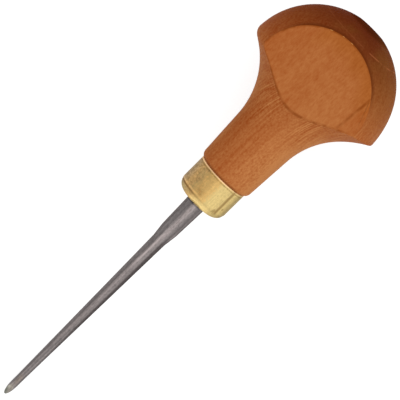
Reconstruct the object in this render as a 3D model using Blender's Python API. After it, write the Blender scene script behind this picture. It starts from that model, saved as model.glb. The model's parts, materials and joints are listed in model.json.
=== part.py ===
# Micro U-gouge: a turned wooden palm handle, a drawn brass ferrule and a forged steel blade.
# The tool is drawn along X, cutting tip at x = 0, butt at +X, the flat of the head facing +Z.
# The bench_pose empty then lays it down on z = 0, on the rim of the head and the tip of the blade.

from math import atan2, cos, pi, radians, sin, sqrt, tan

import bmesh
import bpy
from mathutils import Matrix, Vector

MM = 0.001

# Fits
FIT_GAP = 0.3 * MM            # clearance all round between two pieces that touch

# Blade: bevelled nose, parallel cutting end, long taper, step, round shank, square tang
BLADE_DIAMETER = 2.0 * MM     # parallel cutting end
PARALLEL_LENGTH = 6.0 * MM    # tip to the start of the taper
TAPER_LENGTH = 49.8 * MM
TAPER_DIAMETER = 3.85 * MM    # thick end of the taper
STEP_LENGTH = 3.6 * MM        # slopes from the taper up to the shank
SHANK_FRONT_DIAMETER = 4.75 * MM
SHANK_LENGTH = 10.0 * MM      # step to the front face of the ferrule
SHANK_DIAMETER = 5.35 * MM    # where it enters the ferrule
NOSE_LENGTH = 3.8 * MM        # rounded end, seen from above
BEVEL_LENGTH = 3.6 * MM       # ground on the convex side
EDGE_THICKNESS = 0.06 * MM
CHANNEL_WIDTH = 1.2 * MM
CHANNEL_LENGTH = 34.0 * MM    # tip to where the channel runs out
TANG_LENGTH = 30.0 * MM       # from the inside of the ferrule into the handle
TANG_ROOT_WIDTH = 3.4 * MM
TANG_END_WIDTH = 1.8 * MM

# Ferrule: a cup with a hole in its front for the shank
FERRULE_DIAMETER = 14.1 * MM
FERRULE_LENGTH = 9.0 * MM
FERRULE_WALL = 0.8 * MM
FERRULE_ROUND = 2.7 * MM      # outer front edge
CUP_ROUND = 1.9 * MM          # inside corner, and the end of the tenon that sits in it

# Handle: tenon, shoulder, neck, flare, rim, dome, butt
SHOULDER_DIAMETER = 15.45 * MM
SHOULDER_ROUND = 1.6 * MM
NECK_DIAMETER = 17.0 * MM     # where the flare starts
NECK_LENGTH = 13.7 * MM       # shoulder to the start of the flare
FLARE_LENGTH = 17.85 * MM     # start of the flare to the rim
HEAD_DIAMETER = 40.0 * MM
RIM_LAND = 0.5 * MM           # straight edge between the rim and the dome
RIM_ROUND = 0.8 * MM
BUTT_FLAT_DIAMETER = 9.0 * MM

# Flats sanded on the head
FLAT_DEPTH = 7.35 * MM        # from the rim down to the middle of the main flat
FLAT_LEAN = radians(1.2)      # deeper on the +Y side
FLAT_SLOPE = radians(1.4)     # deeper towards the neck
SIDE_FACET_WIDTH = 3.95 * MM  # strip taken off the edge of the main flat, on the -Y side
SIDE_FACET_SKEW = radians(4.7)
SIDE_FACET_TILT = radians(6.0)

# Fineness of the round faces
HANDLE_SIDES = 64
FERRULE_SIDES = 48
BLADE_SIDES = 32
CHANNEL_SIDES = 10            # over the half round roof of the channel
ROUND_STEPS = 4
NOSE_STEPS = 6
FLARE_STEPS = 12
DOME_STEPS = 14

MERGE = 0.001 * MM
SMOOTH_ANGLE = radians(30.0)
OVERRUN = 2.0 * MM            # how far a cutter passes the face that it cuts

# Places along the tool that follow from the sizes above
TAPER_END_X = PARALLEL_LENGTH + TAPER_LENGTH
SHANK_START_X = TAPER_END_X + STEP_LENGTH
BLADE_REACH = SHANK_START_X + SHANK_LENGTH
SHANK_END_X = BLADE_REACH + FERRULE_WALL
TANG_END_X = SHANK_END_X + TANG_LENGTH
TENON_X = SHANK_END_X + FIT_GAP
FERRULE_BACK_X = BLADE_REACH + FERRULE_LENGTH
SHOULDER_X = FERRULE_BACK_X + FIT_GAP
FLARE_X = SHOULDER_X + NECK_LENGTH
RIM_X = FLARE_X + FLARE_LENGTH
DOME_X = RIM_X + RIM_LAND
HEAD_RADIUS = HEAD_DIAMETER / 2
FERRULE_BORE_RADIUS = FERRULE_DIAMETER / 2 - FERRULE_WALL
TENON_RADIUS = FERRULE_BORE_RADIUS - FIT_GAP
FLAT_HEIGHT = HEAD_RADIUS - FLAT_DEPTH


def clear_scene():
    for thing in list(bpy.data.objects):
        bpy.data.objects.remove(thing)


def make_material(name, colour, roughness, metallic):
    material = bpy.data.materials.new(name)
    material.use_nodes = True
    shader = material.node_tree.nodes["Principled BSDF"]
    shader.inputs["Base Color"].default_value = (*colour, 1.0)
    shader.inputs["Roughness"].default_value = roughness
    shader.inputs["Metallic"].default_value = metallic
    return material


def finish_mesh(mesh, bm):
    bmesh.ops.recalc_face_normals(bm, faces=bm.faces)
    bm.to_mesh(mesh)
    bm.free()
    mesh.shade_smooth()
    mesh.set_sharp_from_angle(angle=SMOOTH_ANGLE)


def make_object(name, bm, material=None):
    mesh = bpy.data.meshes.new(name)
    finish_mesh(mesh, bm)
    piece = bpy.data.objects.new(name, mesh)
    bpy.context.scene.collection.objects.link(piece)
    if material:
        mesh.materials.append(material)
    return piece


def as_cutter(piece):
    piece.hide_render = True
    piece.display_type = 'WIRE'
    return piece


def combine(piece, other, operation):
    boolean = piece.modifiers.new(f"{operation.lower()} {other.name}", 'BOOLEAN')
    boolean.operation = operation
    boolean.solver = 'EXACT'
    boolean.object = as_cutter(other)


def arc(centre, radius, start, end, steps):
    # Points of an arc in the (x, radius) half plane, both ends included.
    angles = [start + (end - start) * step / steps for step in range(steps + 1)]
    return [(centre[0] + radius * cos(angle), centre[1] + radius * sin(angle)) for angle in angles]


def rounded(before, corner, after, radius):
    # Points of the arc that rounds a corner of an outline, no longer than the sides next to it.
    corner = Vector(corner)
    back = Vector(before) - corner
    ahead = Vector(after) - corner
    half_angle = back.angle(ahead) / 2
    reach = min(radius / tan(half_angle), back.length, ahead.length)
    radius = reach * tan(half_angle)
    back.normalize()
    ahead.normalize()
    centre = corner + (back + ahead).normalized() * radius / sin(half_angle)
    start = atan2(*reversed(corner + back * reach - centre))
    end = atan2(*reversed(corner + ahead * reach - centre))
    turn = (end - start + pi) % (2 * pi) - pi
    return arc(centre, radius, start, start + turn, ROUND_STEPS)


def turned(name, outline, sides, material, closed=False):
    # Spins an outline of (x, radius) points about X, with a face of the ring facing straight down.
    bm = bmesh.new()
    verts = [bm.verts.new((x, 0.0, radius)) for x, radius in outline]
    ends = verts[1:] + verts[:1] if closed else verts[1:]
    edges = [bm.edges.new(pair) for pair in zip(verts, ends)]
    half_step = Matrix.Rotation(pi / sides, 3, 'X')
    bmesh.ops.rotate(bm, verts=verts, cent=(0, 0, 0), matrix=half_step)
    bmesh.ops.spin(bm, geom=verts + edges, cent=(0, 0, 0), axis=(1, 0, 0), angle=2 * pi,
                   steps=sides, use_merge=True)
    bmesh.ops.remove_doubles(bm, verts=bm.verts, dist=MERGE)
    return make_object(name, bm, material)


def grind_flat(piece, point, normal):
    # Takes off everything above a plane and closes the cut with one flat face.
    bm = bmesh.new()
    bm.from_mesh(piece.data)
    cut = bmesh.ops.bisect_plane(bm, geom=bm.verts[:] + bm.edges[:] + bm.faces[:], dist=MERGE,
                                 plane_co=point, plane_no=normal, clear_outer=True)
    rim = [item for item in cut["geom_cut"] if isinstance(item, bmesh.types.BMEdge)]
    bmesh.ops.contextual_create(bm, geom=rim)
    finish_mesh(piece.data, bm)


def blade_radius(x):
    # Radius of the parallel end and the taper.
    share = max(0.0, x - PARALLEL_LENGTH) / TAPER_LENGTH
    return (BLADE_DIAMETER + share * (TAPER_DIAMETER - BLADE_DIAMETER)) / 2


def tang_width(x):
    share = (x - SHANK_END_X) / TANG_LENGTH
    return TANG_ROOT_WIDTH + share * (TANG_END_WIDTH - TANG_ROOT_WIDTH)


def tang_spike(name, start, end, gap):
    # A stretch of the four sided tang along X, its flats facing Y and Z, grown by the gap.
    bm = bmesh.new()
    corner = 1 / sqrt(2)
    along_x = Matrix.Translation(((start + end) / 2, 0, 0)) @ Matrix.Rotation(pi / 2, 4, 'Y')
    bmesh.ops.create_cone(bm, cap_ends=True, segments=4, depth=end - start,
                          radius1=(tang_width(start) + 2 * gap) * corner,
                          radius2=(tang_width(end) + 2 * gap) * corner,
                          matrix=along_x @ Matrix.Rotation(pi / 4, 4, 'Z'))
    return make_object(name, bm)


def channel_cutter():
    # A bar with a half round roof. Its roof starts just under the tip and slopes down,
    # so that the channel runs out of the underside of the blade at its full length.
    bm = bmesh.new()
    half_width = CHANNEL_WIDTH / 2
    depth = 2 * SHANK_DIAMETER
    roof = arc((0.0, -half_width), half_width, 0.0, pi, CHANNEL_SIDES)
    section = [(half_width, -depth)] + roof + [(-half_width, -depth)]
    face = bm.faces.new([bm.verts.new((-OVERRUN, y, z)) for y, z in section])
    bar = bmesh.ops.extrude_face_region(bm, geom=[face])
    far_end = [item for item in bar["geom"] if isinstance(item, bmesh.types.BMVert)]
    bmesh.ops.translate(bm, verts=far_end, vec=(CHANNEL_LENGTH + 2 * OVERRUN, 0, 0))
    cutter = make_object("blade_channel", bm)
    drop = blade_radius(CHANNEL_LENGTH) - EDGE_THICKNESS
    cutter.location = (0, 0, -EDGE_THICKNESS)
    cutter.rotation_euler = (0, atan2(drop, CHANNEL_LENGTH), 0)
    return cutter


def make_blade(material):
    nose_radius = blade_radius(NOSE_LENGTH)
    quarter = [pi / 2 * step / NOSE_STEPS for step in range(NOSE_STEPS)]
    nose = [(NOSE_LENGTH * (1 - cos(angle)), nose_radius * sin(angle)) for angle in quarter]
    outline = nose + [
        (NOSE_LENGTH, nose_radius),
        (PARALLEL_LENGTH, BLADE_DIAMETER / 2),
        (TAPER_END_X, TAPER_DIAMETER / 2),
        (SHANK_START_X, SHANK_FRONT_DIAMETER / 2),
        (BLADE_REACH, SHANK_DIAMETER / 2),
        (SHANK_END_X, SHANK_DIAMETER / 2),
        (SHANK_END_X, 0.0),
    ]
    blade = turned("blade", outline, BLADE_SIDES, material)
    bevel_rise = blade_radius(BEVEL_LENGTH) - EDGE_THICKNESS
    grind_flat(blade, (0, 0, EDGE_THICKNESS), (-bevel_rise, 0, BEVEL_LENGTH))
    combine(blade, tang_spike("blade_tang", SHANK_END_X - FERRULE_WALL, TANG_END_X, 0.0), 'UNION')
    combine(blade, channel_cutter(), 'DIFFERENCE')
    return blade


def make_ferrule(material):
    # The hole in the front lets the tang through and then takes the shank.
    outer = FERRULE_DIAMETER / 2
    hole = max(SHANK_DIAMETER / 2, TANG_ROOT_WIDTH / sqrt(2)) + FIT_GAP
    front_corner = rounded((BLADE_REACH, hole), (BLADE_REACH, outer), (FERRULE_BACK_X, outer),
                           FERRULE_ROUND)
    inside_corner = rounded((FERRULE_BACK_X, FERRULE_BORE_RADIUS),
                            (SHANK_END_X, FERRULE_BORE_RADIUS), (SHANK_END_X, hole),
                            CUP_ROUND)
    outline = [(BLADE_REACH, hole)] + front_corner
    outline += [(FERRULE_BACK_X, outer), (FERRULE_BACK_X, FERRULE_BORE_RADIUS)]
    outline += inside_corner + [(SHANK_END_X, hole)]
    return turned("ferrule", outline, FERRULE_SIDES, material, closed=True)


def flare_arc():
    # The arc that leaves the neck along its slope and ends on the rim.
    start = Vector((FLARE_X, NECK_DIAMETER / 2))
    rim = Vector((RIM_X, HEAD_RADIUS))
    slope = atan2((NECK_DIAMETER - SHOULDER_DIAMETER) / 2, NECK_LENGTH)
    outward = Vector((-sin(slope), cos(slope)))
    chord = rim - start
    radius = chord.length_squared / (2 * chord.dot(outward))
    centre = start + outward * radius
    first = slope - pi / 2
    last = atan2(rim.y - centre.y, rim.x - centre.x)
    return arc(centre, radius, first, last, FLARE_STEPS)


def dome_reach():
    # From the middle of the dome's sphere to the flat spot on the butt.
    return sqrt(HEAD_RADIUS ** 2 - (BUTT_FLAT_DIAMETER / 2) ** 2)


def dome_arc():
    butt_angle = atan2(BUTT_FLAT_DIAMETER / 2, dome_reach())
    return arc((DOME_X, 0.0), HEAD_RADIUS, pi / 2, butt_angle, DOME_STEPS)


def flat_pose():
    # Axes of the main flat, its normal third. It faces +Z, sanded by hand and so a little askew.
    return Matrix.Rotation(-FLAT_SLOPE, 3, 'Y') @ Matrix.Rotation(-FLAT_LEAN, 3, 'X')


def sand_flats(handle):
    # The side facet leans over the -Y edge of the main flat, along a slightly skewed line.
    pose = flat_pose()
    middle = Vector((DOME_X, 0, FLAT_HEIGHT))
    grind_flat(handle, middle, pose @ Vector((0, 0, 1)))
    flat_half_width = sqrt(HEAD_RADIUS ** 2 - FLAT_HEIGHT ** 2)
    facet_edge = middle + pose @ Vector((0, SIDE_FACET_WIDTH - flat_half_width, 0))
    lean = Matrix.Rotation(-SIDE_FACET_SKEW, 3, 'Z') @ Matrix.Rotation(SIDE_FACET_TILT, 3, 'X')
    grind_flat(handle, facet_edge, pose @ lean @ Vector((0, 0, 1)))


def make_handle(material):
    shoulder_radius = SHOULDER_DIAMETER / 2
    flare = flare_arc()
    dome = dome_arc()
    tenon_root = (SHOULDER_X, TENON_RADIUS)
    shoulder = rounded(tenon_root, (SHOULDER_X, shoulder_radius), flare[0], SHOULDER_ROUND)
    rim = rounded(flare[-2], flare[-1], dome[0], RIM_ROUND)
    tenon = rounded((TENON_X, 0.0), (TENON_X, TENON_RADIUS), tenon_root, CUP_ROUND)
    outline = [(TENON_X, 0.0)] + tenon + [tenon_root]
    outline += shoulder + flare[:-1] + rim + dome
    outline += [(DOME_X + dome_reach(), 0.0)]
    handle = turned("handle", outline, HANDLE_SIDES, material)
    sand_flats(handle)
    socket = tang_spike("tang_socket", TENON_X - OVERRUN, TANG_END_X + FIT_GAP, FIT_GAP)
    combine(handle, socket, 'DIFFERENCE')
    return handle


def corners(piece):
    # Every corner of a finished piece, in the world.
    bpy.context.view_layer.update()
    finished = piece.evaluated_get(bpy.context.evaluated_depsgraph_get())
    return [finished.matrix_world @ vert.co for vert in finished.data.vertices]


def lay_on_bench(blade, handle, pieces):
    # The bench line runs under the rim of the head and meets the first corner of the blade.
    rim_bottom = min(corners(handle), key=lambda corner: corner.z)
    tilt = min(atan2(corner.z - rim_bottom.z, rim_bottom.x - corner.x) for corner in corners(blade)
               if corner.x < BLADE_REACH)
    bench_pose = bpy.data.objects.new("bench_pose", None)
    bpy.context.scene.collection.objects.link(bench_pose)
    bench_pose.rotation_euler = (0, -tilt, 0)
    for piece in pieces:
        piece.parent = bench_pose
    placed = [corner for piece in (blade, handle) for corner in corners(piece)]
    middle = (min(corner.x for corner in placed) + max(corner.x for corner in placed)) / 2
    bench_pose.location = (-middle, 0, -min(corner.z for corner in placed))


def main():
    clear_scene()
    wood = make_material("pear_wood", (0.41, 0.14, 0.035), 0.42, 0.0)
    brass = make_material("brass", (0.72, 0.53, 0.21), 0.28, 1.0)
    steel = make_material("blade_steel", (0.26, 0.24, 0.235), 0.36, 1.0)
    blade = make_blade(steel)
    ferrule = make_ferrule(brass)
    handle = make_handle(wood)
    everything = [thing for thing in bpy.context.scene.objects if thing.type == 'MESH']
    lay_on_bench(blade, handle, everything)


main()
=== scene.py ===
import json
from math import atan2, cos, pi, radians, sin, sqrt, tan

import bmesh
import bpy
from mathutils import Matrix, Vector


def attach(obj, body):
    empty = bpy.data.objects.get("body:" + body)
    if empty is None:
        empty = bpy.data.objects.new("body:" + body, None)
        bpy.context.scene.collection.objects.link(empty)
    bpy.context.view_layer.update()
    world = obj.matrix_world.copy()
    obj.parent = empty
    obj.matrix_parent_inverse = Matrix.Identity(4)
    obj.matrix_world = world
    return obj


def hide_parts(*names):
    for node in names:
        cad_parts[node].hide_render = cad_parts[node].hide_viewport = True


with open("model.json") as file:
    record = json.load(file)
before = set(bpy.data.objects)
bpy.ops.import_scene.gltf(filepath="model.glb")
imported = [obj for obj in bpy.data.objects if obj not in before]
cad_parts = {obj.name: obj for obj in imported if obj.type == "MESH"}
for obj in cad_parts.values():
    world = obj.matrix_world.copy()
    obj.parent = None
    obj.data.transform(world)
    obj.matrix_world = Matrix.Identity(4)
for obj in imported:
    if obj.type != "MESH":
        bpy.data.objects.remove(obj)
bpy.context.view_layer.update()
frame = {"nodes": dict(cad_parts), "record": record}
print("frame:", ", ".join(sorted(frame["nodes"])))

mm = 0.001
weld = 0.0005                   # mm; points nearer than this are one
sharpCorner = radians(34)       # edges that turn less are shaded smooth
cutCorners = 12                 # a face with more corners than this is a cut

# places along the tool in mm: cutting tip at 0, butt at +X, the flat of the head facing +Z
tool = {
    "ferruleFront": 69.4,
    "shoulder": 78.7,
    "flare": 92.4,
    "rim": 110.25,
    "dome": 110.75,        # middle of the ball that the dome is a part of
    "headRadius": 20.0,
    "flatHeight": 12.65,   # middle of the main flat above the axis
    "flatLean": 1.2,       # degrees; the flat is deeper towards +Y
    "flatSlope": 1.4,      # and towards the neck
}
flatPoint = Vector((tool["dome"], 0, tool["flatHeight"]))
flatPose = (Matrix.Rotation(radians(-tool["flatSlope"]), 3, 'Y')
            @ Matrix.Rotation(radians(-tool["flatLean"]), 3, 'X'))
flatNormal = flatPose @ Vector((0, 0, 1))

# the CAD lies tilted on the floor; its flat tells how
headFlat = next(mount for mount in frame["record"]["mounts"] if mount["name"] == "head_flat")
tilt = atan2(-headFlat["axis"][0], headFlat["axis"][2]) - radians(tool["flatSlope"])
lay = Matrix.Rotation(-tilt, 4, 'Y')
tipPlace = Vector(headFlat["pos_m"]) - lay @ (flatPoint * mm)
toolToWorld = Matrix.Translation(tipPlace) @ lay @ Matrix.Scale(mm, 4)


# meshes are drawn in mm along the tool, then laid down
def spaced(start, end, steps):
    # even steps from just past the start to the end
    return [start + (end - start) * step / steps for step in range(1, steps + 1)]


def arcPoints(centre, radius, start, end, steps):
    angles = [start] + spaced(start, end, steps)
    return [(centre[0] + radius * cos(a), centre[1] + radius * sin(a)) for a in angles]


def roundCorner(before, corner, after, radius, steps):
    corner = Vector(corner)
    back = Vector(before) - corner
    ahead = Vector(after) - corner
    half = back.angle(ahead) / 2
    reach = min(radius / tan(half), back.length, ahead.length)
    radius = reach * tan(half)
    back.normalize()
    ahead.normalize()
    centre = corner + (back + ahead).normalized() * radius / sin(half)
    start = atan2(*reversed(corner + back * reach - centre))
    end = atan2(*reversed(corner + ahead * reach - centre))
    turn = (end - start + pi) % (2 * pi) - pi
    return arcPoints(centre, radius, start, start + turn, steps)


def gridMesh(rows, wrapRows, wrapColumns):
    # quads between rows of points; points that fall together are merged
    bm = bmesh.new()
    verts = [[bm.verts.new(point) for point in row] for row in rows]
    nextRows = verts[1:] + verts[:1] if wrapRows else verts[1:]
    for here, there in zip(verts, nextRows):
        count = len(here)
        for i in range(count if wrapColumns else count - 1):
            j = (i + 1) % count
            bm.faces.new((here[i], here[j], there[j], there[i]))
    bmesh.ops.remove_doubles(bm, verts=bm.verts, dist=weld)
    bmesh.ops.recalc_face_normals(bm, faces=bm.faces)
    return bm


def spun(outlineAt, sides, closed=False):
    # outlineAt(angle) gives (x, radius) points; the angle turns from the flat's side towards +Y
    rows = []
    for side in range(sides):
        angle = 2 * pi * (side + 0.5) / sides
        rows.append([(x, r * sin(angle), r * cos(angle)) for x, r in outlineAt(angle)])
    return gridMesh(rows, True, closed)


def cutAway(bm, point, normal, clear=True, spare=None):
    # listed in a fixed order, so that every run gives the same mesh
    loose = [face for face in bm.faces if face is not spare]
    parts = dict.fromkeys(item for face in loose for item in (face, *face.edges, *face.verts))
    bmesh.ops.bisect_plane(bm, geom=list(parts), dist=weld, plane_co=point, plane_no=normal,
                           clear_outer=clear)


def closeCut(bm, merge):
    # shuts the open rim of a cut with one flat face
    rimVerts = [vert for vert in bm.verts if vert.is_boundary]
    bmesh.ops.remove_doubles(bm, verts=rimVerts, dist=merge)
    rim = [edge for edge in bm.edges if edge.is_boundary]
    return bmesh.ops.contextual_create(bm, geom=rim)["faces"][0]


def makePiece(name, bm, material):
    # a cut keeps its own flat shading, everything else is smooth up to a sharp corner
    bmesh.ops.recalc_face_normals(bm, faces=bm.faces)
    for face in bm.faces:
        face.smooth = True
    for edge in bm.edges:
        besideCut = any(len(face.verts) > cutCorners for face in edge.link_faces)
        edge.smooth = edge.calc_face_angle(0) < sharpCorner and not besideCut
    bm.transform(toolToWorld)
    mesh = bpy.data.meshes.new(name)
    bm.to_mesh(mesh)
    bm.free()
    mesh.materials.append(material)
    piece = bpy.data.objects.new(name, mesh)
    bpy.context.scene.collection.objects.link(piece)
    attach(piece, "root")
    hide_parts(name.split("_")[0])
    print(f"{name}: {len(mesh.polygons)} faces")


class Wire:
    # an output in a shader tree; arithmetic on it adds Math nodes
    def __init__(self, tree, socket=None):
        self.tree = tree
        self.socket = socket

    def node(self, kind, settings=None, inputs=None, out=0):
        made = self.tree.nodes.new(kind)
        for name, value in (settings or {}).items():
            setattr(made, name, value)
        self.feed(made, inputs or {})
        return Wire(self.tree, made.outputs[out])

    def feed(self, made, inputs):
        for name, value in inputs.items():
            if isinstance(value, Wire):
                self.tree.links.new(value.socket, made.inputs[name])
            else:
                made.inputs[name].default_value = value

    def maths(self, operation, *values):
        return self.node('ShaderNodeMath', {"operation": operation}, dict(enumerate(values)))

    def __add__(self, other):
        return self.maths('ADD', self, other)

    def __sub__(self, other):
        return self.maths('SUBTRACT', self, other)

    def __rsub__(self, other):
        return self.maths('SUBTRACT', other, self)

    def __mul__(self, other):
        return self.maths('MULTIPLY', self, other)

    def __truediv__(self, other):
        return self.maths('DIVIDE', self, other)

    def __pow__(self, other):
        return self.maths('POWER', self, other)

    def __abs__(self):
        return self.maths('ABSOLUTE', self)

    __radd__ = __add__
    __rmul__ = __mul__


def least(a, b):
    return a.maths('MINIMUM', a, b)


def most(a, b):
    return a.maths('MAXIMUM', a, b)


def ease(value, low, high):
    # 0 at low and 1 at high, smooth between; low may be the larger
    return value.node('ShaderNodeMapRange', {"interpolation_type": 'SMOOTHSTEP'},
                      {"Value": value, "From Min": low, "From Max": high})


def band(value, middle, width):
    # 1 about the middle, 0 beyond the first width from it
    return ease(abs(value - middle), *width)


def behind(start, limits):
    # limits measured along X from a place on the tool
    return [start + limit for limit in limits]


def mix(factor, a, b):
    return factor.node('ShaderNodeMix', {"data_type": 'RGBA'}, {0: factor, 6: a, 7: b}, out=2)


def brighten(colour, factor):
    colour = colour if isinstance(colour, Wire) else colour[:3]
    return factor.node('ShaderNodeVectorMath', {"operation": 'SCALE'}, {0: colour, 3: factor})


def noise(place, stretch, shift=0.0, detail=2.0, roughness=0.5):
    # stretch is in waves per mm along X, Y and Z
    moved = place.node('ShaderNodeVectorMath', {"operation": 'MULTIPLY_ADD'},
                       {0: place, 1: stretch, 2: (shift, shift, shift)})
    return place.node('ShaderNodeTexNoise', None, {"Vector": moved, "Scale": 1.0, "Detail": detail,
                                                   "Roughness": roughness})


def swing(place, **look):
    # noise about 0
    return noise(place, **look) - 0.5


def dot(place, direction):
    return place.node('ShaderNodeVectorMath', {"operation": 'DOT_PRODUCT'},
                      {0: place, 1: direction}, out=1)


def apart(place, point):
    return place.node('ShaderNodeVectorMath', {"operation": 'DISTANCE'},
                      {0: place, 1: point}, out=1)


def split(place):
    return [place.node('ShaderNodeSeparateXYZ', None, {0: place}, out=axis) for axis in "XYZ"]


def srgb(red, green, blue):
    # a colour as a colour picker shows it
    return tuple(((c / 255 + 0.055) / 1.055) ** 2.4 for c in (red, green, blue)) + (1.0,)


def startMaterial(name):
    # gives the material and the place on the tool in mm
    material = bpy.data.materials.new(name)
    material.use_nodes = True
    wire = Wire(material.node_tree)
    onPart = wire.node('ShaderNodeTexCoord', out="Object")
    place = wire.node('ShaderNodeMapping', {"vector_type": 'TEXTURE'},
                      {"Vector": onPart, "Location": tipPlace, "Rotation": (0, -tilt, 0),
                       "Scale": (mm, mm, mm)})
    return material, place


def finishMaterial(material, inputs, bumpHeight, bump):
    tree = material.node_tree
    wire = Wire(tree)
    normal = wire.node('ShaderNodeBump', None, {"Strength": bump["strength"],
                                                "Distance": bump["depth"] * mm,
                                                "Height": bumpHeight})
    wire.feed(tree.nodes["Principled BSDF"], {**inputs, "Normal": normal})
    return material


# handle: turned pear wood with a sanded flat and a side facet
handle = {
    "sides": 192,
    "shoulderSteps": 10,
    "neckSteps": 8,
    "flareSteps": 36,
    "rimSteps": 8,
    "domeSteps": 56,
    "tenonSteps": 6,
    "shoulderRadius": 7.725,
    "shoulderRound": 1.6,
    "neckRadius": 8.5,
    "rimRound": 1.35,          # mean; the +Y side is worn rounder
    "rimRoundSwing": 1.05,
    "rimReach": 3.0,           # the rounding takes no more than this on either side
    "rimSwell": 0.28,          # the -Y side of the rim stands out a little
    "swellFade": 8.0,          # and runs out over this much of the dome
    "flareFuller": 0.26,       # the flare is fuller on that side too
    "buttRadius": 4.5,
    "tenonRadius": 5.95,
    "tenonRound": 1.9,
    "tenonFront": 70.5,
    "boreRadius": 2.85,        # drilled for the tang
    "boreEnd": 100.5,
    "facetInset": 3.95,        # strip that the side facet takes off the flat
    "facetSkew": 4.7,
    "facetTilt": 6.0,
    "edgeInset": 0.3,          # eased edges of the flats
    "edgeDrop": 0.03,
    "edgeBelow": 0.14,
    "cutWeld": 0.04,           # clears short edges along a cut
    "lastWeld": 0.003,
    "sharedDepth": 0.01,       # the facet's rim is not let down this near to the flat
}
flatHalf = sqrt(tool["headRadius"] ** 2 - tool["flatHeight"] ** 2)
facetPoint = flatPoint + flatPose @ Vector((0, handle["facetInset"] - flatHalf, 0))
facetNormal = (flatPose @ Matrix.Rotation(radians(-handle["facetSkew"]), 3, 'Z')
               @ Matrix.Rotation(radians(handle["facetTilt"]), 3, 'X') @ Vector((0, 0, 1)))

neckSlope = atan2(handle["neckRadius"] - handle["shoulderRadius"],
                  tool["flare"] - tool["shoulder"])
flareOut = Vector((-sin(neckSlope), cos(neckSlope)))
flareStart = Vector((tool["flare"], handle["neckRadius"]))


def flareArc(rim):
    # leaves the neck along its slope and ends on the rim
    chord = Vector(rim) - flareStart
    radius = chord.length_squared / (2 * chord.dot(flareOut))
    return flareStart + flareOut * radius, radius


flareCentre, flareRadius = flareArc((tool["rim"], tool["headRadius"]))


def handleOutline(angle):
    h = handle
    headRadius = tool["headRadius"]
    swell = h["rimSwell"] * max(0.0, -sin(angle)) ** 2
    corner = Vector((tool["rim"], headRadius + swell))
    centre, radius = flareArc(corner)
    back = (corner - centre).orthogonal().normalized()
    back *= -h["rimReach"] if back.x > 0 else h["rimReach"]
    rim = roundCorner(corner + back, corner, corner + Vector((h["rimReach"], 0)),
                      h["rimRound"] + h["rimRoundSwing"] * sin(angle), h["rimSteps"])
    meets = Vector(rim[0]) - centre
    steps = h["flareSteps"]
    flare = arcPoints(centre, radius, neckSlope - pi / 2, atan2(meets.y, meets.x), steps)[:-1]
    for step, (x, r) in enumerate(flare):
        fuller = h["flareFuller"] * max(0.0, -sin(angle)) * sin(pi * (step / steps) ** 3)
        flare[step] = (x, r + fuller)
    buttReach = sqrt(headRadius ** 2 - h["buttRadius"] ** 2)
    dome = arcPoints((tool["dome"], 0), headRadius, atan2(rim[-1][1], rim[-1][0] - tool["dome"]),
                     atan2(h["buttRadius"], buttReach), h["domeSteps"])[1:]
    dome = [(x, r + swell * max(0.0, 1 - (x - tool["dome"]) / h["swellFade"]) ** 2)
            for x, r in dome]
    tenonRoot = (tool["shoulder"], h["tenonRadius"])
    shoulder = roundCorner(tenonRoot, (tool["shoulder"], h["shoulderRadius"]), flare[0],
                           h["shoulderRound"], h["shoulderSteps"])
    neckStart = Vector(shoulder[-1])
    neckShares = spaced(0, 1, h["neckSteps"])[:-1]
    neck = [tuple(neckStart.lerp(Vector(flare[0]), share)) for share in neckShares]
    bore = [(h["boreEnd"], 0.0), (h["boreEnd"], h["boreRadius"]),
            (h["tenonFront"], h["boreRadius"])]
    tenon = roundCorner(bore[-1], (h["tenonFront"], h["tenonRadius"]), tenonRoot,
                        h["tenonRound"], h["tenonSteps"])
    tenon.append(tenonRoot)
    buttEnd = tool["dome"] + buttReach
    butt = [(buttEnd, h["buttRadius"] / 2), (buttEnd, 0.0)]
    return bore + tenon + shoulder + neck + flare + rim + dome + butt


def sandFlat(bm, point, normal, spare=None):
    # cuts the flat, then eases its rim: a loop just below it and the rim itself let down a little
    cutAway(bm, point - normal * handle["edgeBelow"], normal, clear=False, spare=spare)
    cutAway(bm, point, normal)
    flat = closeCut(bm, handle["cutWeld"])
    ring = bmesh.ops.inset_region(bm, faces=[flat], thickness=handle["edgeInset"],
                                  use_even_offset=True)["faces"]
    for vert in {vert for face in ring for vert in face.verts} - set(flat.verts):
        if spare is None or (flatPoint - vert.co).dot(flatNormal) > handle["sharedDepth"]:
            vert.co -= normal * handle["edgeDrop"]
    return flat


def handleMesh():
    bm = spun(handleOutline, handle["sides"])
    flat = sandFlat(bm, flatPoint, flatNormal)
    sandFlat(bm, facetPoint, facetNormal, spare=flat)
    bmesh.ops.remove_doubles(bm, verts=bm.verts, dist=handle["lastWeld"])
    return bm


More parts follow.
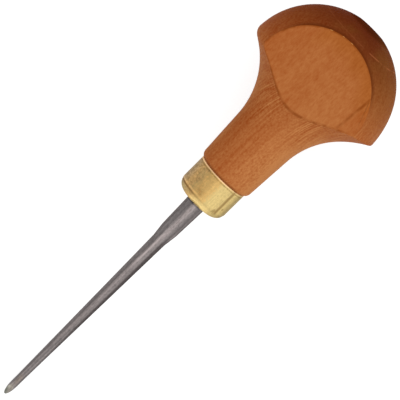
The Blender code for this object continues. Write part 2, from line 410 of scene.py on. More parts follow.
# in a pair of limits a thing is absent at the first and full at the second
wood = {
    "dark": srgb(148, 62, 8),        # ends of the range that the grain runs through
    "light": srgb(192, 126, 73),
    "middle": 0.47,
    "pith": (-26.6, 1.7),            # Y and Z of the middle of the year rings
    "ringGrowth": 24.0,              # rings are wider nearer to the pith than this, finer beyond
    "lines": {"stretch": (0.03, 1.45, 0.3), "shift": 3.1, "detail": 3.0, "roughness": 0.6},
    "fineLines": {"stretch": (0.02, 2.9, 0.2), "shift": 2.6},
    "fleck": {"stretch": (1.5, 1.9, 1.9), "shift": 7.7, "detail": 4.0, "roughness": 0.6},
    "spots": {"stretch": (0.6, 1.3, 1.3), "shift": 6.1, "detail": 4.0, "roughness": 0.65},
    "patch": {"stretch": (0.05, 0.16, 0.16), "shift": 1.9},
    "pores": {"stretch": (1.1, 6.0, 6.0), "shift": 1.3, "detail": 1.0},
    "broken": {"stretch": (0.35, 0.35, 0.35), "shift": 5.5},    # gaps in lathe mark and edge lines
    "openPore": (0.60, 0.76),
    "sandedSkin": (0.07, 0.03),      # depth under a flat
    "domeFrom": (0.0, 4.0),          # ahead of the dome's middle
    "flareFrom": (93.0, 102.0),      # X
    "neckFrom": (96.0, 90.0),
    # strength of the grain on the neck, and what is added to it elsewhere
    "lineTone": {"neck": 0.66, "flare": 1.7, "paleFlare": 0.6, "flats": -0.46, "dome": -0.21},
    "fleckTone": {"neck": 1.0, "flare": 0.1, "flats": -0.2, "paleNeck": 0.5},
    "patchTone": {"neck": 0.45, "flare": -0.25, "flats": -0.15},
    "poreTone": 0.15,
    # the flare's lines are finer, show beside its middle and fade round its sides
    "flareLines": {"fine": 0.85, "least": -0.07, "middle": -1.2, "begin": (1.5, 4.5),
                   "fade": (6.5, 10.0), "faded": 0.75},
    # paler on the -Y side of the neck, on part of the flats and low on the dome
    "pale": {"side": (0.0, -4.5), "wander": 9.0, "amount": 0.26, "neck": (110.0, 92.0),
             "flats": (122.0, 104.0), "onFlats": 0.5,
             "dome": (0.2, 1.5), "domeLow": (1.5, 8.0), "onDome": 0.55},
    # painted sheen: paler round the sides of neck and flare too
    "sides": {"round": (0.7, 0.95), "amount": 0.21, "neck": (108.0, 102.0),
              "flare": (112.0, 108.0), "flareSide": (-2.0, 2.0)},
    # redder on the +Y side
    "red": {"side": (1.0, 4.0), "wander": 6.0, "amount": 0.1, "dome": 0.7, "flare": -0.6},
    "flats": {"tone": 0.04, "plusY": (6.0, 13.0), "plusTone": -0.1,
              "facet": (0.02, 0.15), "facetTone": -0.14},
    "dome": {"endGrain": srgb(98, 37, 13), "olive": srgb(104, 54, 18), "oliveFrom": (-0.05, 0.3),
             "oliveLean": 0.02, "paler": 0.12, "low": (2.0, 9.0), "lowSide": (0.0, -8.0),
             "fleck": 0.6, "butt": (18.8, 19.45), "buttShade": 0.3,
             "side": (3.0, -3.0), "sideShade": 0.08},
    "latheMark": {"colour": srgb(172, 100, 60), "at": 16.3, "width": (0.16, 0.04),
                  "broken": (0.34, 0.50), "amount": 0.14, "side": (1.0, -5.0), "onSide": 0.4},
    # oil gathered along the edge of the flat
    "oil": {"colour": srgb(158, 85, 27), "amount": 0.55, "width": (4.4, 0.5), "wander": 4.0,
            "ahead": (1.0, 9.0), "side": (9.5, 6.0), "grain": 0.6},
    # the brown line round the flats: thinner beside the facet, wider between the two,
    # and none on the -Y side towards the butt
    "edgeLine": {"colour": srgb(132, 63, 17), "amount": 0.75, "width": (0.4, 0.05),
                 "broken": (0.40, 0.62), "least": 0.35, "facetThinner": 0.25, "between": 0.7,
                 "noneSide": (-9.0, -11.0), "noneEnd": (4.0, 7.0)},
    # painted shade on the dome just below the edge of the flat
    "domeEdgeShade": {"colour": srgb(92, 37, 9), "amount": 0.6, "width": (1.2, 0.2),
                 "ahead": (5.0, 12.0)},
    # bare wood on the worn edge; each spot is ahead of the dome's middle, Y and size
    "worn": {"colour": srgb(216, 154, 88), "amount": 0.7, "width": (0.12, 0.03), "core": 0.4,
             "spots": [(13.94, 6.35, 0.5), (14.92, 3.1, 0.35), (15.18, 0.5, 0.4)]},
    # painted shade on the wood along the ferrule
    "seamShade": {"colour": srgb(112, 58, 20), "amount": 0.5, "along": (0.95, 0.35),
             "side": (-6.2, -4.0)},
    "sheen": 0.003,                  # specular level of the thin oil finish
    "rough": {"base": 0.5, "lines": 0.16, "pores": 0.1, "butt": 0.5, "buttFrom": (18.8, 19.4)},
    "satin": {"weight": 0.12, "roughness": 0.45, "ior": 1.3, "ahead": (12.0, 2.0)},
    "bump": {"strength": 0.25, "depth": 0.05, "lines": 0.7, "fleck": 0.3, "pores": 0.5},
}


def woodMaterial():
    w = wood
    material, place = startMaterial("pearWood")
    x, y, z = split(place)

    # how deep a point lies under the turned skin, the flat and the facet
    radius = (y * y + z * z) ** 0.5
    ahead = most(x - tool["dome"], 0.0)
    domeDepth = tool["headRadius"] - (ahead * ahead + radius * radius) ** 0.5
    flareDepth = ((x - flareCentre.x) ** 2 + (radius - flareCentre.y) ** 2) ** 0.5 - flareRadius
    skinDepth = most(least(domeDepth, flareDepth), 0.0)
    flatDepth = most(flatNormal.dot(flatPoint) - dot(place, tuple(flatNormal)), 0.0)
    facetDepth = most(facetNormal.dot(facetPoint) - dot(place, tuple(facetNormal)), 0.0)
    sanded = ease(least(flatDepth, facetDepth), *w["sandedSkin"])
    turned = 1 - sanded
    onDome = turned * ease(ahead, *w["domeFrom"])
    onFlare = turned * ease(x, *w["flareFrom"]) - onDome

    # grain: long lines and short flecks on the turned wood, rounder flecks where it is sanded
    fromPith = (y - w["pith"][0], z - w["pith"][1])
    ringsOut = (fromPith[0] * fromPith[0] + fromPith[1] * fromPith[1]) / (2 * w["ringGrowth"])
    layers = place.node('ShaderNodeCombineXYZ', None, {0: x, 1: ringsOut, 2: z})
    lines = swing(layers, **w["lines"])
    fleck = swing(place, **w["fleck"])
    spots = swing(place, **w["spots"])
    patch = swing(place, **w["patch"])
    pores = ease(noise(place, **w["pores"]), *w["openPore"])
    fleck = fleck + sanded * (spots - fleck)
    flare = w["flareLines"]
    fineLines = most(swing(layers, **w["fineLines"]), flare["least"])
    lines = lines + onFlare * flare["fine"] * (fineLines - lines)
    lineSides = ease(abs(y - flare["middle"]), *flare["begin"])
    lineSides = lineSides * (1.0 - flare["faded"] * ease(abs(y), *flare["fade"]))
    pale = w["pale"]
    paleSide = ease(y + patch * pale["wander"], *pale["side"])

    add = w["lineTone"]
    flareTone = (add["flare"] + add["paleFlare"] * paleSide) * lineSides * onFlare
    lineTone = add["neck"] + flareTone + add["flats"] * sanded + add["dome"] * onDome
    add = w["fleckTone"]
    neckTone = add["paleNeck"] * paleSide * ease(x, *w["neckFrom"])
    fleckTone = add["neck"] + add["flare"] * onFlare + add["flats"] * sanded + neckTone
    add = w["patchTone"]
    patchTone = add["neck"] + add["flare"] * onFlare + add["flats"] * sanded
    tone = lines * lineTone + fleck * fleckTone + patch * patchTone - pores * w["poreTone"]

    # paler and redder sides, a painted sheen round the sides, the tone of the flats
    paleAlong = most(ease(x, *pale["neck"]), sanded * pale["onFlats"] * ease(x, *pale["flats"]))
    paleDome = ease(flatDepth, *pale["domeLow"]) * turned * ease(ahead, *pale["dome"])
    paleAlong = most(paleAlong, paleDome * pale["onDome"])
    paler = paleSide * paleAlong * pale["amount"]
    sides = w["sides"]
    sheenReach = ease(x, *sides["flare"]) * ease(y, *sides["flareSide"])
    sheenReach = most(ease(x, *sides["neck"]), sheenReach)
    # painted sheen round the sides of neck and flare
    paler = paler + ease(abs(y) / radius, *sides["round"]) * sheenReach * turned * sides["amount"]
    red = w["red"]
    redTone = (1.0 + red["dome"] * onDome + red["flare"] * onFlare) * red["amount"]
    redder = ease(y + patch * red["wander"], *red["side"]) * turned * redTone
    flats = w["flats"]
    flatTone = flats["tone"] + flats["plusTone"] * ease(y, *flats["plusY"])
    flatTone = flatTone + flats["facetTone"] * ease(flatDepth, *flats["facet"])
    grain = w["middle"] + tone + paler - redder + sanded * flatTone
    colour = mix(grain, w["dark"], w["light"])

    # end grain darkens the dome, with painted shade at the butt and on its -Y side, and a lathe
    # mark round it
    dome = w["dome"]
    lowDome = dome["paler"] * ease(flatDepth, *dome["low"]) * ease(y, *dome["lowSide"])
    endGrain = least(ahead / tool["headRadius"], 1.0) * turned * (1.0 - lowDome)
    olive = ease(patch - y * dome["oliveLean"], *dome["oliveFrom"])
    darkDome = mix(olive, dome["endGrain"], dome["olive"])
    domeShade = 1.0 + fleck * dome["fleck"] - dome["buttShade"] * ease(ahead, *dome["butt"])
    domeShade = domeShade - dome["sideShade"] * ease(y, *dome["side"])
    colour = mix(endGrain, colour, brighten(darkDome, domeShade))
    broken = noise(place, **w["broken"])
    mark = w["latheMark"]
    ring = band(ahead, mark["at"], mark["width"]) * turned * ease(broken, *mark["broken"])
    ring = ring * (mark["amount"] + mark["onSide"] * ease(y, *mark["side"]))
    colour = mix(ring, colour, mark["colour"])

    # edges of the flats: oil along them, a brown line, painted shade on the dome below the edge,
    # bare wood where they are worn
    oil = w["oil"]
    oiled = ease(skinDepth + patch * oil["wander"], *oil["width"]) * sanded
    oiled = oiled * ease(ahead, *oil["ahead"]) * ease(y, *oil["side"])
    oilColour = brighten(oil["colour"], 1.0 + tone * oil["grain"])
    colour = mix(oiled * oil["amount"], colour, oilColour)
    line = w["edgeLine"]
    unlined = ease(y, *line["noneSide"]) * ease(ahead, *line["noneEnd"])
    besideFlat = most(flatDepth, skinDepth) + line["width"][0] * unlined
    besideFacet = most(facetDepth, skinDepth) + line["facetThinner"]
    betweenFlats = most(flatDepth, facetDepth) * line["between"] / sin(radians(handle["facetTilt"]))
    fromEdge = least(least(besideFlat, besideFacet), betweenFlats)
    unbroken = line["least"] + (1 - line["least"]) * ease(broken, *line["broken"])
    lined = ease(fromEdge, *line["width"]) * unbroken
    colour = mix(lined * line["amount"], colour, line["colour"])
    # painted shade on the dome just below the flat
    edge = w["domeEdgeShade"]
    domeEdgeShade = ease(flatDepth, *edge["width"]) * turned * ease(ahead, *edge["ahead"])
    colour = mix(domeEdgeShade * edge["amount"], colour, edge["colour"])
    worn = w["worn"]
    for along, aside, size in worn["spots"]:
        rise = along * tan(radians(tool["flatSlope"])) - aside * tan(radians(tool["flatLean"]))
        spot = apart(place, (tool["dome"] + along, aside, tool["flatHeight"] + rise))
        bare = ease(spot + spots * size, size, size * worn["core"]) * ease(fromEdge, *worn["width"])
        colour = mix(bare * worn["amount"], colour, worn["colour"])

    # painted shade on the wood where it meets the ferrule
    seamShade = w["seamShade"]
    inSeamShade = ease(x, *behind(tool["shoulder"], seamShade["along"])) * ease(y, *seamShade["side"])
    colour = mix(inSeamShade * seamShade["amount"], colour, seamShade["colour"])

    rough = w["rough"]
    roughness = rough["base"] + lines * rough["lines"] + pores * rough["pores"]
    roughness = roughness + rough["butt"] * ease(ahead, *rough["buttFrom"])
    bump = w["bump"]
    height = lines * bump["lines"] + fleck * bump["fleck"] - pores * bump["pores"]
    satin = w["satin"]
    coat = satin["weight"] * turned * ease(ahead, *satin["ahead"])
    return finishMaterial(material, {"Base Color": colour, "Roughness": roughness,
                                     "Specular IOR Level": w["sheen"], "Coat Weight": coat,
                                     "Coat Roughness": satin["roughness"],
                                     "Coat IOR": satin["ior"]}, height, bump)


makePiece("handle_wood", handleMesh(), woodMaterial())


# ferrule: a drawn brass cup
ferrule = {
    "sides": 144,
    "lipSteps": 24,
    "cupSteps": 6,
    "radius": 7.05,
    "wall": 0.8,
    "frontRound": 2.7,
    "cupRound": 1.9,
    "backBevel": 0.2,
    "backReach": 0.22,         # the back edge lies over the rounding of the shoulder
    "gap": 0.08,               # to the wood
    "holeRadius": 2.73,
    "grooveAt": 1.9,           # a turned line on the lip, behind the front
    "grooveWidth": 0.36,
    "grooveDepth": 0.07,
}


def ferruleOutline(angle):
    f = ferrule
    front = tool["ferruleFront"]
    back = tool["shoulder"] + f["backReach"]
    bore = f["radius"] - f["wall"]
    inside = front + f["wall"]
    lip = roundCorner((front, f["holeRadius"]), (front, f["radius"]), (back, f["radius"]),
                      f["frontRound"], f["lipSteps"])
    for i, (x, r) in enumerate(lip):
        fromGroove = abs(x - front - f["grooveAt"]) / f["grooveWidth"]
        lip[i] = (x, r - f["grooveDepth"] * max(0.0, 1 - fromGroove))
    outline = [(front, f["holeRadius"])] + lip
    outline += [(back - f["backBevel"], f["radius"]), (back, f["radius"] - f["backBevel"])]
    inner = tool["shoulder"] - f["gap"]
    outline.append((inner, bore))
    outline += roundCorner((inner, bore), (inside, bore), (inside, f["holeRadius"]),
                           f["cupRound"], f["cupSteps"])
    outline.append((inside, f["holeRadius"]))
    return outline


# places across the ferrule are shares of its radius, -1 on the -Y side and 1 on the +Y side
brass = {
    "clean": srgb(208, 183, 122),
    "dark": srgb(108, 70, 24),       # in lines and pits
    "blotch": {"stretch": (0.55, 0.5, 0.5), "shift": 2.3, "detail": 3.0},
    "speck": {"stretch": (1.8, 1.8, 1.8), "shift": 4.4, "detail": 3.0, "roughness": 0.65},
    "scratch": {"stretch": (0.12, 3.5, 3.5), "shift": 5.9, "detail": 3.0},
    # real mottled tarnish towards the +Y side, which also stands for painted shade on that side
    "tarnishAndShade": {"colour": srgb(184, 149, 97), "side": (0.0, 0.6), "blotch": 0.9, "speck": 0.8},
    # a redder band down the middle
    "warm": {"colour": srgb(201, 156, 90), "amount": 0.6, "from": (-0.3, -0.1), "speck": 0.4,
             "to": (0.5, 0.25), "blotch": 0.5},
    "stain": {"colour": srgb(146, 112, 64), "amount": 0.4, "level": (0.03, 0.22), "speck": 0.6,
              "from": (-0.25, 0.15), "to": (0.8, 0.4)},
    # greyer along the +Y side
    "greyEdge": {"colour": srgb(168, 150, 126), "amount": 0.55, "side": (0.7, 0.97), "speck": 0.3},
    # the lip has a painted highlight in the middle and painted shade towards -Y, and is dull on its
    # +Y side
    "lip": {"along": (2.6, 1.0), "light": 0.4, "lightFrom": (-0.62, -0.2), "lightTo": (0.7, 0.15),
            "shade": 0.2, "shadeSide": (-0.4, -0.7),
            "dull": srgb(176, 164, 122), "dullAmount": 0.6, "dullSide": (0.4, 0.75)},
    # the line turned in the lip, deepened by a painted dark reflection, with a painted highlight
    # behind it
    "groove": {"lean": 0.2, "width": (0.36, 0.1), "least": 0.12, "middle": (-0.15, 0.4),
               "onMiddle": 0.35, "plusY": (0.45, 0.7), "onPlusY": 0.25,
               "lightAt": 0.6, "lightSide": (-0.1, 0.4), "light": 0.42},
    "shade": {"speck": 0.7, "tarnishSpeck": 1.3, "scratch": 0.4, "sides": (0.72, 1.0),
              "onSides": 0.18, "minusY": (-0.8, -0.95), "onMinusY": 0.26},
    # a dark line down the -Y side
    "darkLine": {"at": -0.72, "width": (0.065, 0.015), "along": (0.8, 2.2), "amount": 0.6},
    # place and size of each pit
    "pits": {"places": [((71.5, -4.7, 5.2), 0.95), ((73.1, -5.85, 3.93), 0.45)],
             "speck": 2.0, "core": 0.3, "amount": 0.5},
    # a painted highlight on the back edge, and the dark line before it
    "back": {"colour": srgb(240, 200, 150), "width": (0.55, 0.38), "least": 0.35,
             "side": (-0.7, -0.2), "onSide": 0.6,
             "lineAt": 0.75, "lineWidth": (0.25, 0.05), "speck": 0.5, "line": 0.4},
    "rough": {"base": 0.4, "tarnishAndShade": 0.12, "speck": 0.1},
    "glint": (0.78, 0.72, 0.62, 1),  # colour at a grazing angle
    "bump": {"strength": 0.2, "depth": 0.03},
}


def brassMaterial():
    b = brass
    material, place = startMaterial("tarnishedBrass")
    x, y, _ = split(place)
    side = y / ferrule["radius"]
    front = tool["ferruleFront"]
    blotch = swing(place, **b["blotch"])
    speck = swing(place, **b["speck"])
    scratch = swing(place, **b["scratch"])
    lip = b["lip"]
    onLip = ease(x, *behind(front, lip["along"]))

    # tarnish, which is also painted shade towards the +Y side, stains, and a greyer +Y edge
    film = b["tarnishAndShade"]
    tarnishAndShade = ease(side + blotch * film["blotch"] + speck * film["speck"], *film["side"])
    colour = mix(tarnishAndShade, b["clean"], film["colour"])
    warm = b["warm"]
    warmed = ease(side + speck * warm["speck"], *warm["from"])
    warmed = warmed * ease(side + blotch * warm["blotch"], *warm["to"])
    colour = mix(warmed * warm["amount"] * (1.0 - onLip), colour, warm["colour"])
    stain = b["stain"]
    stained = ease(blotch + speck * stain["speck"], *stain["level"])
    stained = stained * ease(side, *stain["from"]) * ease(side, *stain["to"])
    colour = mix(stained * stain["amount"], colour, stain["colour"])
    greyEdge = b["greyEdge"]
    greyed = ease(side + speck * greyEdge["speck"], *greyEdge["side"])
    colour = mix(greyed * greyEdge["amount"], colour, greyEdge["colour"])
    colour = mix(onLip * ease(side, *lip["dullSide"]) * lip["dullAmount"], colour, lip["dull"])

    # painted highlights on the lip and behind its line, painted shade along the sides, and uneven
    # mottling
    lipHighlight = ease(side, *lip["lightFrom"]) * ease(side, *lip["lightTo"]) * lip["light"]
    lipHighlight = lipHighlight - ease(side, *lip["shadeSide"]) * lip["shade"]
    groove = b["groove"]
    fromGroove = x - front - ferrule["grooveAt"]
    lineHighlight = band(fromGroove, groove["lightAt"], groove["width"])
    lineHighlight = lineHighlight * ease(side, *groove["lightSide"]) * groove["light"]
    shade = b["shade"]
    sideShade = ease(abs(side), *shade["sides"]) * shade["onSides"]
    sideShade = sideShade + ease(side, *shade["minusY"]) * shade["onMinusY"]
    uneven = speck * (shade["speck"] + shade["tarnishSpeck"] * tarnishAndShade) + scratch * shade["scratch"]
    colour = brighten(colour, 1.0 + (uneven - sideShade) + onLip * lipHighlight + lineHighlight)

    # dark in the lip's line and its painted dark reflection, the dark line down the -Y side and the
    # pits; a painted highlight along the back edge
    inGroove = groove["least"] + groove["onMiddle"] * ease(side, *groove["middle"])
    inGroove = inGroove + groove["onPlusY"] * ease(side, *groove["plusY"])
    dark = band(fromGroove, groove["lean"] * side, groove["width"]) * inGroove
    lineSet = b["darkLine"]
    darkLine = band(side, lineSet["at"], lineSet["width"]) * ease(x, *behind(front, lineSet["along"]))
    dark = most(dark, darkLine * lineSet["amount"])
    pits = b["pits"]
    for where, size in pits["places"]:
        pit = ease(apart(place, where) + speck * size * pits["speck"], size, size * pits["core"])
        dark = most(dark, pit * pits["amount"])
    back = b["back"]
    fromBack = tool["shoulder"] + ferrule["backReach"] - x
    backLine = ease(abs(fromBack - back["lineAt"]) + speck * back["speck"], *back["lineWidth"])
    dark = most(dark, backLine * back["line"])
    colour = mix(dark, colour, b["dark"])
    backHighlight = back["least"] + back["onSide"] * ease(side, *back["side"])
    colour = mix(ease(fromBack, *back["width"]) * backHighlight, colour, back["colour"])

    rough = b["rough"]
    roughness = rough["base"] + tarnishAndShade * rough["tarnishAndShade"] + speck * rough["speck"]
    return finishMaterial(material, {"Base Color": colour, "Metallic": 1.0, "Roughness": roughness,
                                     "Specular Tint": b["glint"]}, scratch + speck, b["bump"])


makePiece("ferrule_brass", spun(ferruleOutline, ferrule["sides"], closed=True),
          brassMaterial())


# blade: forged steel with a narrow U channel underneath
blade = {
    "aroundTop": 72,           # points round the outside of a section
    "aroundChannel": 14,
    "noseSteps": 12,
    "channelSteps": 48,
    "taperSteps": 12,
    "stepSteps": 6,
    "shankRows": [63.0, 66.0],
    "bevelWeld": 0.004,
    "radius": 1.0,
    "noseLength": 3.8,
    "parallelEnd": 6.0,
    "taperEnd": 55.8,
    "taperRadius": 1.925,
    "shankStart": 59.4,
    "shankFrontRadius": 2.375,
    "shankRadius": 2.675,
    "shankEnd": 70.2,
    "tangEnd": 100.2,
    "tangRoot": 1.7,           # half widths of the square tang
    "tangTip": 0.9,
    "bevelLength": 3.6,
    "edgeThickness": 0.06,
    "channelHalf": 0.6,
    "channelEnd": 34.0,
}


def bladeRadius(x):
    b = blade
    if x < b["noseLength"]:
        return b["radius"] * sqrt(max(0.0, 1 - (1 - x / b["noseLength"]) ** 2))
    stops = [(b["noseLength"], b["radius"]), (b["parallelEnd"], b["radius"]),
             (b["taperEnd"], b["taperRadius"]), (b["shankStart"], b["shankFrontRadius"]),
             (tool["ferruleFront"], b["shankRadius"]), (b["shankEnd"], b["shankRadius"])]
    for (x0, r0), (x1, r1) in zip(stops, stops[1:]):
        if x <= x1:
            return r0 + (r1 - r0) * (x - x0) / (x1 - x0)
    return b["shankRadius"]


def bladeSection(x, radius):
    # from one lip of the channel over the top to the other lip, then back through the channel
    b = blade
    half = b["channelHalf"]
    endRadius = bladeRadius(b["channelEnd"])
    roof = -b["edgeThickness"] - x * (endRadius - b["edgeThickness"]) / b["channelEnd"]
    centre = roof - half
    if roof <= -radius or radius == 0:
        lip, sweep = (0.0, -radius), 0.0
    elif radius > half and centre > -sqrt(radius ** 2 - half ** 2):
        lip, sweep = (half, -sqrt(radius ** 2 - half ** 2)), pi / 2
    else:
        lipZ = (radius ** 2 - half ** 2 + centre ** 2) / (2 * centre)
        lip = (sqrt(max(0.0, radius ** 2 - lipZ ** 2)), lipZ)
        sweep = atan2(lip[0], lipZ - centre)
    lipAngle = atan2(lip[0], lip[1]) if radius else pi
    count = b["aroundTop"]
    angles = [lipAngle - 2 * lipAngle * step / count for step in range(count + 1)]
    loop = [(x, radius * sin(a), radius * cos(a)) for a in angles]
    for step in range(b["aroundChannel"] + 1):
        a = -sweep + 2 * sweep * step / b["aroundChannel"]
        inside = (x, half * sin(a), centre + half * cos(a)) if sweep else (x, 0.0, -radius)
        loop.append(inside)
    return loop


def bladeMesh():
    b = blade
    turns = [0.0] + spaced(0.0, pi / 2, b["noseSteps"])
    nose = [b["noseLength"] * (1 - cos(turn)) for turn in turns]
    channel = spaced(b["noseLength"], b["channelEnd"], b["channelSteps"])
    taper = spaced(b["channelEnd"], b["taperEnd"], b["taperSteps"])
    step = spaced(b["taperEnd"], b["shankStart"], b["stepSteps"])
    shank = b["shankRows"] + [tool["ferruleFront"], b["shankEnd"]]
    stations = sorted(set(nose + channel + taper + step + shank + [b["parallelEnd"]]))
    rows = [bladeSection(x, bladeRadius(x)) for x in stations]
    square = [(y / max(abs(y), abs(z)), z / max(abs(y), abs(z))) for _, y, z in rows[-1]]
    tang = ((b["shankEnd"], b["tangRoot"]), (b["tangEnd"], b["tangTip"]), (b["tangEnd"], 0.0))
    for x, half in tang:
        rows.append([(x, half * y, half * z) for y, z in square])
    bm = gridMesh(rows, False, True)
    rise = (b["radius"] - b["edgeThickness"]) / b["bevelLength"]
    cutAway(bm, Vector((0, 0, b["edgeThickness"])), Vector((-rise, 0, 1)).normalized())
    closeCut(bm, b["bevelWeld"])
    return bm


# places across the blade go from -1 on its +Y side to 1 on its -Y side
steel = {
    "scale": srgb(118, 112, 111),
    "streak": {"stretch": (0.05, 4.5, 4.5), "shift": 4.2, "detail": 4.0, "roughness": 0.7},
    "speck": {"stretch": (1.5, 2.1, 2.1), "shift": 9.1, "detail": 4.0, "roughness": 0.7},
    "patch": {"stretch": (0.12, 0.8, 0.8), "shift": 8.8},
    "wander": 0.5,                   # streaks move the places across by this share
    "core": 0.05,                    # keeps the division away from the axis
    "tipFrom": (26.0, 12.0),         # X
    "shankFrom": (52.0, 60.0),
    # a painted reflection strip along the top; near the tip a painted dark and light line run in it
    "strip": {"colour": srgb(152, 142, 140), "from": (-0.55, -0.15), "to": (0.7, 0.35),
              "dim": (-0.1, 0.2), "dimmed": 0.68, "onShank": 0.2, "nearTip": 0.25},
    "tipLine": {"at": 0.1, "width": (0.35, 0.1), "amount": 0.78},
    "tipLight": {"at": 0.5, "width": (0.28, 0.05), "amount": 0.45},
    # painted shade on the -Y side, less near the tip and on the shank
    "minusYShade": {"colour": srgb(86, 80, 79), "across": (0.4, 0.68), "nearTip": 0.65,
                  "onShank": 0.5},
    "bevel": {"colour": srgb(168, 160, 150), "skin": (0.06, 0.02), "along": (4.0, 2.4),
              "shade": srgb(128, 128, 118), "shadeLean": 0.6, "shadeFrom": (1.5, 0.3),
              "light": srgb(200, 196, 182), "lightAt": (2.3, 0.45, 0.66), "lightSize": (0.7, 0.1),
              "lightAmount": 0.7},
    "besideBevel": {"along": (4.8, 3.4), "minusY": (0.45, 0.7), "onMinusY": 0.4,
                    "plusY": (0.1, -0.3), "onPlusY": 0.3},
    # a warmer patch behind the bevel
    "heated": {"colour": srgb(152, 136, 122), "amount": 0.4, "at": 5.0, "wander": 4.0,
               "along": (2.6, 0.4), "middle": 0.1, "width": (0.7, 0.2)},
    "shade": {"streak": 1.15, "patch": 0.3, "speck": 1.3, "taper": 0.05, "taperFrom": (60.0, 52.0)},
    # painted light and dark reflection bands along the shank: place across it, half width, how much
    # brighter
    "shankBands": [(-0.8, 0.12, -0.17), (-0.55, 0.14, 0.17), (0.25, 0.15, 0.15), (0.85, 0.13, 0.4)],
    "lineCore": 0.2,
    # a painted highlight on the step, most of all just past its middle, and at its -Y corner
    "step": {"from": (44.0, 51.0), "to": (66.0, 61.5), "tone": 0.15, "behind": (57.0, 61.5),
             "behindTone": -0.25, "middle": (0.08, -0.06), "middleTone": 0.42,
             "plusY": (-0.26, -0.16), "minusY": (0.65, 0.4)},
    "corner": {"at": 58.7, "along": (2.4, 0.6), "height": (-0.3, 0.7), "across": (0.7, 0.82),
               "amount": 0.5},
    # shade along the ferrule
    "seamShade": {"along": (-0.95, -0.5), "across": (0.8, 0.3), "amount": 0.55},
    "rough": {"base": 0.42, "streak": 0.3},
    "glint": (0.4, 0.38, 0.38, 1),   # colour at a grazing angle
    "bump": {"strength": 0.2, "depth": 0.02},
}


def steelMaterial():
    s = steel
    material, place = startMaterial("groundSteel")
    x, y, z = split(place)
    streak = swing(place, **s["streak"])
    speck = swing(place, **s["speck"])
    patch = swing(place, **s["patch"])
    across = streak * s["wander"] - y / most((y * y + z * z) ** 0.5, s["core"])
    nearTip = ease(x, *s["tipFrom"])
    onShank = ease(x, *s["shankFrom"])

    # dark forge scale with a painted reflection strip along the top and painted shade on the -Y
    # side
    strip = s["strip"]
    shifted = across - strip["onShank"] * onShank
    stripShine = ease(shifted, *strip["from"]) * (1.0 - strip["dimmed"] * ease(shifted, *strip["dim"]))
    stripShine = stripShine * ease(across, *strip["to"])
    tipLine, tipLight = s["tipLine"], s["tipLight"]
    tipLines = (band(across, tipLine["at"], tipLine["width"]) * tipLine["amount"]
                - band(across, tipLight["at"], tipLight["width"]) * tipLight["amount"])
    stripShine = most(stripShine - nearTip * tipLines, 0.0) * (1.0 - strip["nearTip"] * nearTip)
    dark = s["minusYShade"]
    shadedMinusY = ease(across, *dark["across"]) * (1.0 - dark["nearTip"] * nearTip)
    shadedMinusY = shadedMinusY * (1.0 - dark["onShank"] * onShank)
    colour = mix(shadedMinusY, s["scale"], dark["colour"])
    colour = mix(stripShine, colour, strip["colour"])

    # the bevel is ground brighter, least of all at the very tip, with a painted highlight spot
    bevel = s["bevel"]
    slope = (blade["radius"] - blade["edgeThickness"]) / blade["bevelLength"]
    bevelDepth = x * slope + blade["edgeThickness"] - z
    onBevel = ease(bevelDepth, *bevel["skin"]) * ease(x, *bevel["along"])
    bevelShade = ease(x * bevel["shadeLean"] - y, *bevel["shadeFrom"])
    bevelColour = mix(bevelShade, bevel["colour"], bevel["shade"])
    bevelHighlight = ease(apart(place, bevel["lightAt"]), *bevel["lightSize"])
    bevelColour = mix(bevelHighlight * bevel["lightAmount"], bevelColour, bevel["light"])
    heated = s["heated"]
    warm = ease(abs(x - heated["at"] + patch * heated["wander"]), *heated["along"])
    warm = warm * band(across, heated["middle"], heated["width"])
    colour = mix(warm * heated["amount"], colour, heated["colour"])
    colour = mix(onBevel, colour, bevelColour)
    beside = s["besideBevel"]
    besideTone = beside["onMinusY"] * ease(across, *beside["minusY"])
    besideTone = besideTone + beside["onPlusY"] * ease(across, *beside["plusY"])
    besideBevel = ease(x, *beside["along"]) * besideTone

    # streaks and specks, painted reflection bands on the shank, a painted highlight on the step and
    # painted shade at the ferrule
    amount = s["shade"]
    shade = streak * amount["streak"] + patch * amount["patch"] + speck * amount["speck"]
    shade = shade + besideBevel * (1 - onBevel) - amount["taper"] * ease(x, *amount["taperFrom"])
    for where, half, brighter in s["shankBands"]:
        shade = shade + onShank * band(across, where, (half, half * s["lineCore"])) * brighter
    step = s["step"]
    stepTone = step["tone"] + step["behindTone"] * ease(x, *step["behind"])
    stepTone = stepTone + step["middleTone"] * ease(across, *step["middle"])
    stepHighlight = ease(x, *step["from"]) * ease(x, *step["to"]) * stepTone
    stepHighlight = stepHighlight * ease(across, *step["plusY"]) * ease(across, *step["minusY"])
    corner = s["corner"]
    cornerHighlight = band(x, corner["at"], corner["along"]) * ease(z, *corner["height"])
    cornerHighlight = cornerHighlight * ease(across, *corner["across"])
    shade = shade + stepHighlight + cornerHighlight * corner["amount"]
    seamShade = s["seamShade"]
    inSeamShade = seamShade["amount"] * ease(x, *behind(tool["ferruleFront"], seamShade["along"]))
    shade = shade - inSeamShade * ease(across, *seamShade["across"])
    colour = brighten(colour, 1.0 + shade)
    roughness = s["rough"]["base"] + streak * s["rough"]["streak"]
    return finishMaterial(material, {"Base Color": colour, "Metallic": 1.0, "Roughness": roughness,
                                     "Specular Tint": s["glint"]}, streak, s["bump"])


makePiece("blade_steel", bladeMesh(), steelMaterial())


# floor, light and camera
studio = {
    "floorSize": 8.0,
    "floorColour": 0.5,
    "floorGlow": 0.7,          # lifts the floor to white for the camera and in reflections
    "worldLevel": 0.84,
    "keyLean": 36.0,           # from overhead towards -Y
    "keySwing": 8.0,           # from overhead towards the tip
    "keyDistance": 1.2,
    "keyWidth": 2.3,
    "keyLength": 2.6,
    "keyLevel": 0.44,
}


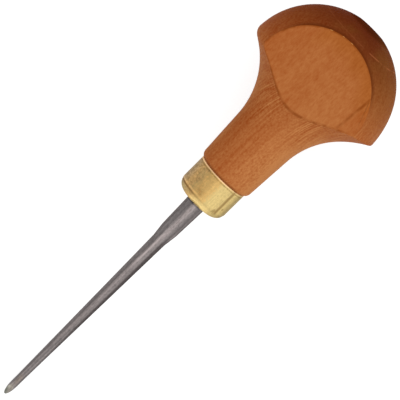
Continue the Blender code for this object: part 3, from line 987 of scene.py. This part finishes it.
def makeFloor():
    bm = bmesh.new()
    bmesh.ops.create_grid(bm, x_segments=2, y_segments=2, size=studio["floorSize"] / 2)
    mesh = bpy.data.meshes.new("floor")
    bm.to_mesh(mesh)
    bm.free()
    material = bpy.data.materials.new("paleFloor")
    material.use_nodes = True
    tree = material.node_tree
    wire = Wire(tree)
    seen = [wire.node('ShaderNodeLightPath', out=ray)
            for ray in ("Is Camera Ray", "Is Glossy Ray", "Is Transmission Ray")]
    shown = most(most(seen[0], seen[1]), seen[2])
    level = studio["floorColour"]
    paint = wire.node('ShaderNodeBsdfDiffuse', None, {"Color": (level, level, level, 1)})
    glow = wire.node('ShaderNodeEmission', None, {"Strength": shown * studio["floorGlow"]})
    both = wire.node('ShaderNodeAddShader', None, {0: paint, 1: glow})
    wire.feed(tree.nodes["Material Output"], {"Surface": both})
    mesh.materials.append(material)
    floor = bpy.data.objects.new("floor", mesh)
    bpy.context.scene.collection.objects.link(floor)


def makeLight():
    world = bpy.data.worlds.new("studio")
    world.use_nodes = True
    level = studio["worldLevel"]
    world.node_tree.nodes["Background"].inputs["Color"].default_value = (level, level, level, 1)
    bpy.context.scene.world = world
    lamp = bpy.data.lights.new("key", 'AREA')
    lamp.shape = 'RECTANGLE'
    lamp.size = studio["keyLength"]
    lamp.size_y = studio["keyWidth"]
    lamp.energy = studio["keyLevel"] * pi * lamp.size * lamp.size_y
    key = bpy.data.objects.new("key", lamp)
    bpy.context.scene.collection.objects.link(key)
    key.matrix_world = (Matrix.Rotation(radians(studio["keyLean"]), 4, 'X')
                        @ Matrix.Rotation(radians(-studio["keySwing"]), 4, 'Y')
                        @ Matrix.Translation((0, 0, studio["keyDistance"])))
    key.visible_camera = False


photoCamera = {
    "target": (4.66, -0.28, 19.75),
    "distance": 800.0,
    "lean": 1.39,              # towards -Y
    "turn": -44.49,
    "lens": 293.04,
    "sensor": 36.0,
    "clip": (0.05, 20.0),
}


def makeCamera():
    c = photoCamera
    data = bpy.data.cameras.new("photoCamera")
    data.lens = c["lens"]
    data.sensor_width = c["sensor"]
    data.clip_start, data.clip_end = c["clip"]
    camera = bpy.data.objects.new("photoCamera", data)
    bpy.context.scene.collection.objects.link(camera)
    camera.matrix_world = (Matrix.Translation(Vector(c["target"]) * mm)
                           @ Matrix.Rotation(radians(c["lean"]), 4, 'X')
                           @ Matrix.Rotation(radians(c["turn"]), 4, 'Z')
                           @ Matrix.Translation((0, 0, c["distance"] * mm)))
    bpy.context.scene.camera = camera


makeFloor()
makeLight()
makeCamera()
bpy.context.scene.view_settings.view_transform = 'Standard'
print("studio: floor, light and camera")
